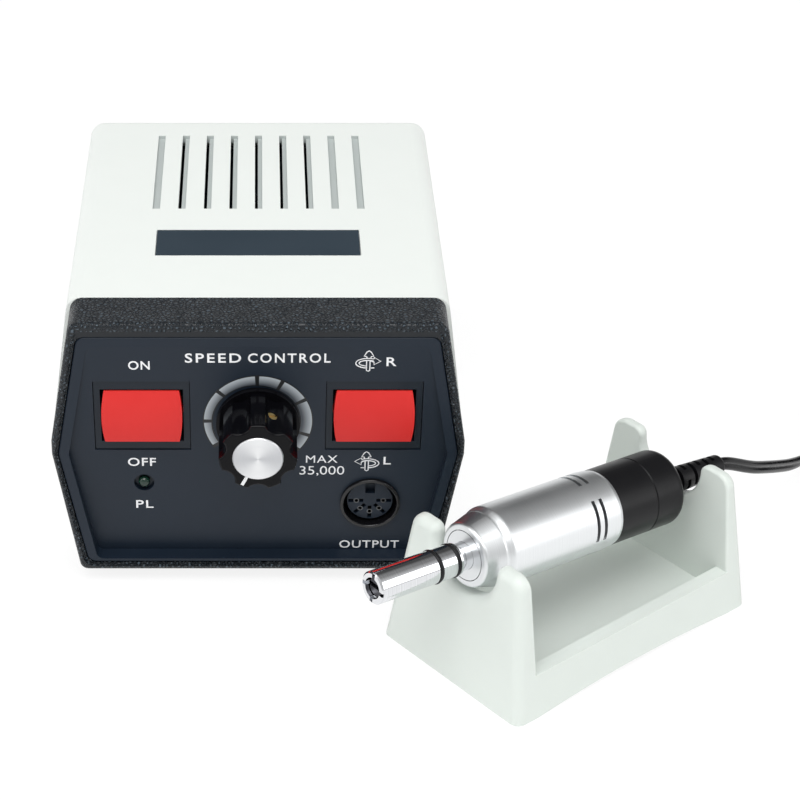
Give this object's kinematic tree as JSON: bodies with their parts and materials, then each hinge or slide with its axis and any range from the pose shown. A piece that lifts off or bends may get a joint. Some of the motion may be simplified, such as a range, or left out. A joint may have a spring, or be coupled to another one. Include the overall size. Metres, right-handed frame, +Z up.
{
  "type": "dental lab micromotor",
  "caption": "Bench control box with rocker switches, speed knob and round socket, a notched plastic holder, and a motor handpiece lying in it on its cord.",
  "frame": {"origin": "on the bench, under the middle of the set without its cord", "axes": "+Z up, the control box faces -Y, +X towards the holder"},
  "size_m": [0.2711, 0.186, 0.0783],
  "materials": {
    "ivory_shell": "fine satin moulding",
    "grained_black": "leather grain",
    "slate": "fine satin moulding",
    "plate_slate": "smooth",
    "black_rubber": "matt",
    "switch_black": "gloss",
    "rocker_red": "gloss",
    "knob_black": "gloss",
    "spun_aluminium": "spun",
    "satin_aluminium": "satin anodised",
    "chrome": "polished",
    "brass": "plain",
    "lamp_green": "clear dome, unlit",
    "steel": "plain",
    "copper": "enamelled wire",
    "board_green": "varnished",
    "capacitor_blue": "sleeve",
    "black_aluminium": "anodised",
    "ferrite": "sintered",
    "carbon": "pressed",
    "cap_black": "satin",
    "holder_white": "fine satin moulding",
    "cord_black": "smooth",
    "glass": "clear"
  },
  "bodies": {
    "control_box": {"top_cover": "ivory_shell", "base_tray": "ivory_shell", "name_plate": "plate_slate", "rubber_feet": "black_rubber", "case_screws": "steel", "front_bezel": "grained_black", "front_panel": "slate", "power_switch_body": "switch_black", "direction_switch_body": "switch_black", "speed_pot_body": "steel", "power_lamp": "lamp_green", "lamp_holder": "switch_black", "output_socket_shell": "chrome", "output_socket_insert": "switch_black", "output_socket_contacts": "brass", "back_panel": "slate", "mains_cable_bush": "black_rubber", "foot_control_jack": "chrome", "fuse_holder": "switch_black", "selector_switch_body": "steel", "transformer_core": "steel", "transformer_coil": "copper", "transformer_strap": "steel", "circuit_board": "board_green", "filter_capacitors": "capacitor_blue", "heat_sink": "black_aluminium", "power_transistor": "switch_black", "handpiece_holder": "holder_white", "handpiece_cord": "cord_black", "cord_coil": "cord_black", "cord_tail": "cord_black", "cord_tie": "cap_black", "plug_body": "cap_black", "plug_shield": "chrome", "plug_pins": "chrome"},
    "power_key": {"power_rocker": "rocker_red"},
    "direction_key": {"direction_rocker": "rocker_red"},
    "speed_control": {"speed_knob": "knob_black", "knob_cap": "spun_aluminium", "knob_set_screw": "brass", "speed_pot_shaft": "steel"},
    "selector": {"selector_slider": "switch_black"},
    "fuse_carrier": {"fuse_cap": "switch_black", "fuse": "glass"},
    "handpiece": {"nose_tube": "chrome", "nose_o_rings": "black_rubber", "front_disc": "satin_aluminium", "front_collar": "satin_aluminium", "motor_barrel": "satin_aluminium", "rear_cap": "cap_black", "strain_relief": "black_rubber", "field_magnets": "ferrite", "bearing_outer_rings": "steel", "brush_carrier": "cap_black", "carbon_brushes": "carbon"},
    "rotor": {"rotor_shaft": "steel", "bearing_inner_rings": "steel", "armature_core": "steel", "armature_winding": "copper", "commutator": "brass"}
  },
  "joints": [
    {"name": "power_switch", "type": "hinge", "parent": "control_box", "child": "power_key", "pos_m": [-0.06609, -0.02846, 0.05072], "axis": [1, 0, 0], "range_deg": [0, 14]},
    {"name": "direction_switch", "type": "hinge", "parent": "control_box", "child": "direction_key", "pos_m": [-0.00739, -0.02846, 0.05072], "axis": [1, 0, 0], "range_deg": [0, 14]},
    {"name": "speed_turn", "type": "hinge", "parent": "control_box", "child": "speed_control", "pos_m": [-0.03674, -0.03176, 0.049], "axis": [0, 0.9979, 0.064], "range_deg": [0, 280]},
    {"name": "selector_slide", "type": "slide", "parent": "control_box", "child": "selector", "axis": [-1, 0, 0], "range_m": [0, 0.004]},
    {"name": "fuse_cap_turn", "type": "hinge", "parent": "control_box", "child": "fuse_carrier", "pos_m": [-0.01274, 0.0849, 0.027], "axis": [0, 1, 0], "range_deg": [0, 60]},
    {"name": "handpiece_lift", "type": "slide", "parent": "control_box", "child": "handpiece", "axis": [0, 0, 1], "range_m": [0, 0.03]},
    {"name": "rotor_spin", "type": "hinge", "parent": "handpiece", "child": "rotor", "pos_m": [0.01307, -0.07146, 0.0354], "axis": [0.8136, 0.5767, -0.0733], "continuous": true}
  ]
}
